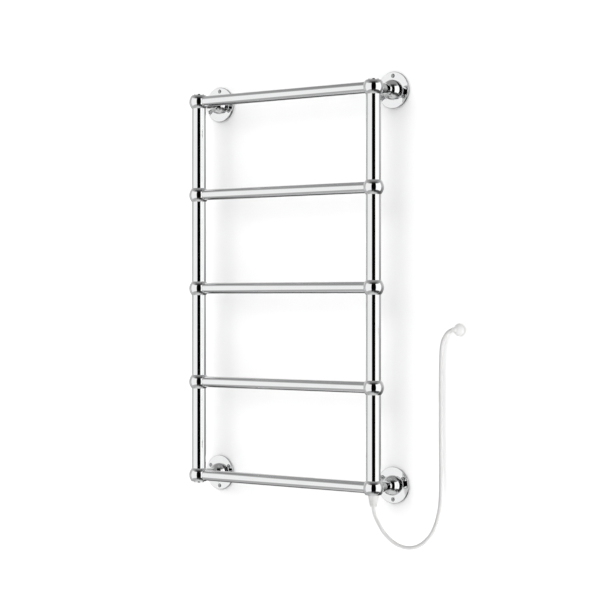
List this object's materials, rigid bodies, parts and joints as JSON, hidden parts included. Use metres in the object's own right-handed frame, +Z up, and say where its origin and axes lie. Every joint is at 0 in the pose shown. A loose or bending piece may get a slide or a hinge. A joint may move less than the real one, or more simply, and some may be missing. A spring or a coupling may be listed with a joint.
{
  "type": "towel warmer rack",
  "caption": "Wall-mounted electric towel warmer: ladder of round chrome tubes joined by ball fittings, on flanged brackets, with a mains lead.",
  "frame": {"origin": "on the wall plane, midway between the four flanges and level with the middle bar", "axes": "X along the bars, to the right for someone facing the wall; Y into the wall; Z up"},
  "size_m": [0.728, 0.137, 1.0522],
  "materials": {
    "chrome": "polished",
    "screw_steel": "polished, lightly turned",
    "zinc_steel": "zinc plated",
    "brass": "machined",
    "stainless": "drawn",
    "ceramic": "fired ceramic",
    "seal_rubber": "moulded",
    "wire_sleeve": "silicone sleeve",
    "white_plastic": "moulded, soft gloss",
    "white_lead": "soft PVC sleeve"
  },
  "bodies": {
    "root": {"bar_1": "chrome", "bar_2": "chrome", "bar_3": "chrome", "bar_4": "chrome", "bar_5": "chrome", "upright_left_1": "chrome", "upright_left_2": "chrome", "upright_left_3": "chrome", "upright_left_4": "chrome", "upright_right_1": "chrome", "upright_right_2": "chrome", "upright_right_3": "chrome", "upright_right_4": "chrome", "joint_left_1": "chrome", "joint_left_2": "chrome", "joint_left_3": "chrome", "joint_left_4": "chrome", "joint_left_5": "chrome", "joint_right_1": "chrome", "joint_right_2": "chrome", "joint_right_3": "chrome", "joint_right_4": "chrome", "joint_right_5": "chrome", "arm_upper_left": "chrome", "arm_upper_right": "chrome", "arm_lower_left": "chrome", "arm_lower_right": "chrome", "bracket_ball_upper_left": "chrome", "bracket_ball_upper_right": "chrome", "bracket_ball_lower_left": "chrome", "bracket_ball_lower_right": "chrome", "flange_upper_left": "chrome", "flange_upper_right": "chrome", "flange_lower_left": "chrome", "flange_lower_right": "chrome", "wall_screws_upper_left": "screw_steel", "wall_screws_upper_right": "screw_steel", "wall_screws_lower_left": "screw_steel", "wall_screws_lower_right": "screw_steel", "arm_studs": "zinc_steel", "flange_bolts": "zinc_steel", "grub_screws": "zinc_steel", "end_plug_top_left": "chrome", "end_plug_top_right": "chrome", "end_plug_bottom_left": "chrome", "end_plug_seals": "seal_rubber", "heater_fitting": "brass", "heater_seal": "seal_rubber", "heater_sheath": "stainless", "heater_core": "ceramic", "thermal_limiter": "ceramic", "heater_leads": "wire_sleeve", "strain_relief": "white_plastic", "power_cord": "white_lead", "plug_body": "white_plastic", "plug_blades": "brass", "plug_ground_pin": "brass"}
  },
  "joints": []
}
